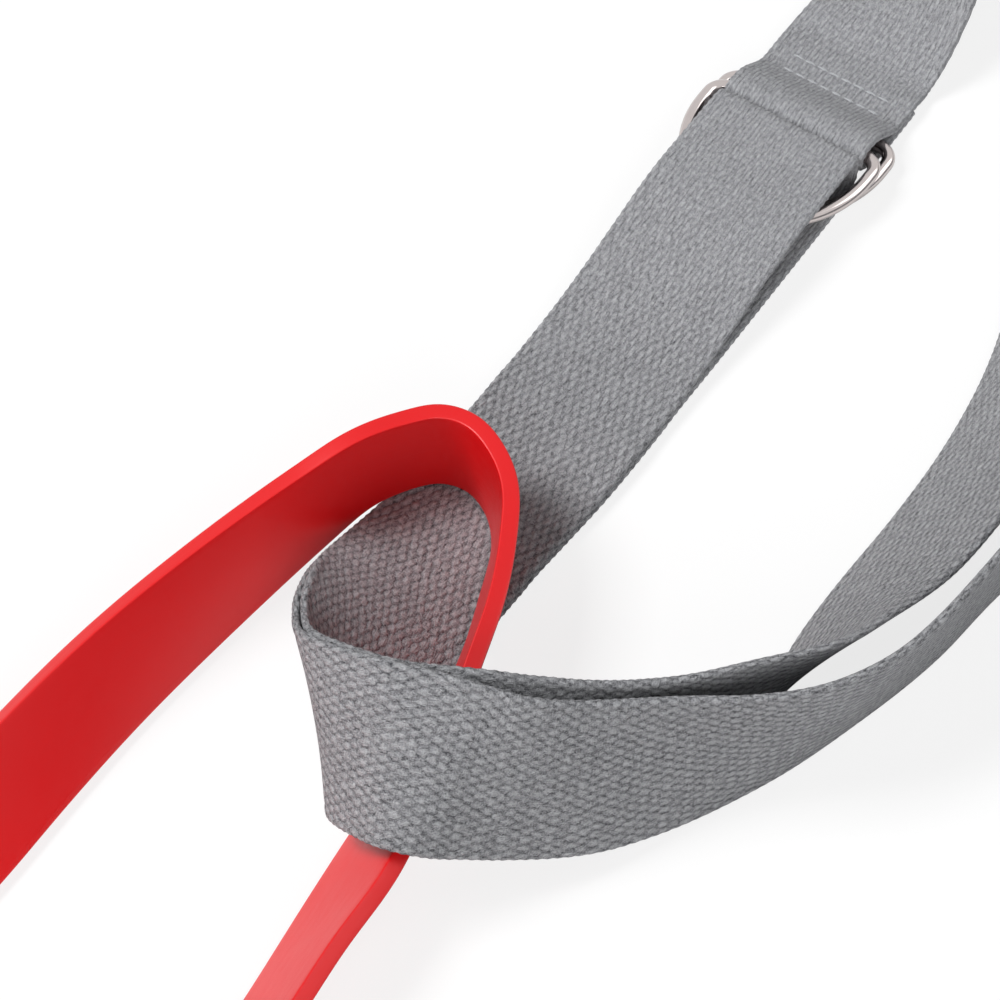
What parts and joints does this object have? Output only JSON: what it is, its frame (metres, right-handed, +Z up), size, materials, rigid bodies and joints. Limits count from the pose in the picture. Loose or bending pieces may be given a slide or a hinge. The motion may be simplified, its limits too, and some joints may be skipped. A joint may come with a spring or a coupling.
{
  "type": "resistance band harness",
  "caption": "Cotton webbing strap closed into a body loop by two stacked D-rings, doubled through a bight that links a closed loop of latex resistance band",
  "frame": {"origin": "on the floor, at the middle of the underside of the strap's flat double run", "axes": "+Z up from the floor; +X and +Y along the floor, with the strap's flat run climbing towards +X and +Y at 56 degrees from +X, and the band's far bend towards -X"},
  "size_m": [1.2435, 0.7931, 0.0639],
  "materials": {
    "webbing": "matt woven cotton webbing, mid grey",
    "thread": "sewing thread, slightly lighter grey",
    "ring": "polished nickel plate on steel wire",
    "latex": "satin red layered latex"
  },
  "bodies": {
    "webbing": {"webbing_body_loop": "webbing", "webbing_load_run": "webbing", "webbing_return_run": "webbing", "stitch_row_inner": "thread", "stitch_row_outer": "thread", "tail_hem_stitches": "thread"},
    "ring_upper": {"ring_upper": "ring"},
    "ring_lower": {"ring_lower": "ring"},
    "latex_band": {"latex_band": "latex"}
  },
  "joints": [
    {"name": "ring_upper_lift", "type": "hinge", "parent": "webbing", "child": "ring_upper", "pos_m": [0.07689, 0.11399, 0.0094], "axis": [-0.829, 0.5592, 0], "range_deg": [0, 1.5]},
    {"name": "ring_lower_lift", "type": "hinge", "parent": "webbing", "child": "ring_lower", "pos_m": [0.08192, 0.12145, 0.0047], "axis": [-0.829, 0.5592, 0], "range_deg": [0, 1.5]},
    {"name": "latex_band_swing", "type": "hinge", "parent": "webbing", "child": "latex_band", "pos_m": [-0.025, -0.09, 0], "axis": [0, 0, 1], "range_deg": [-1, 4]}
  ]
}
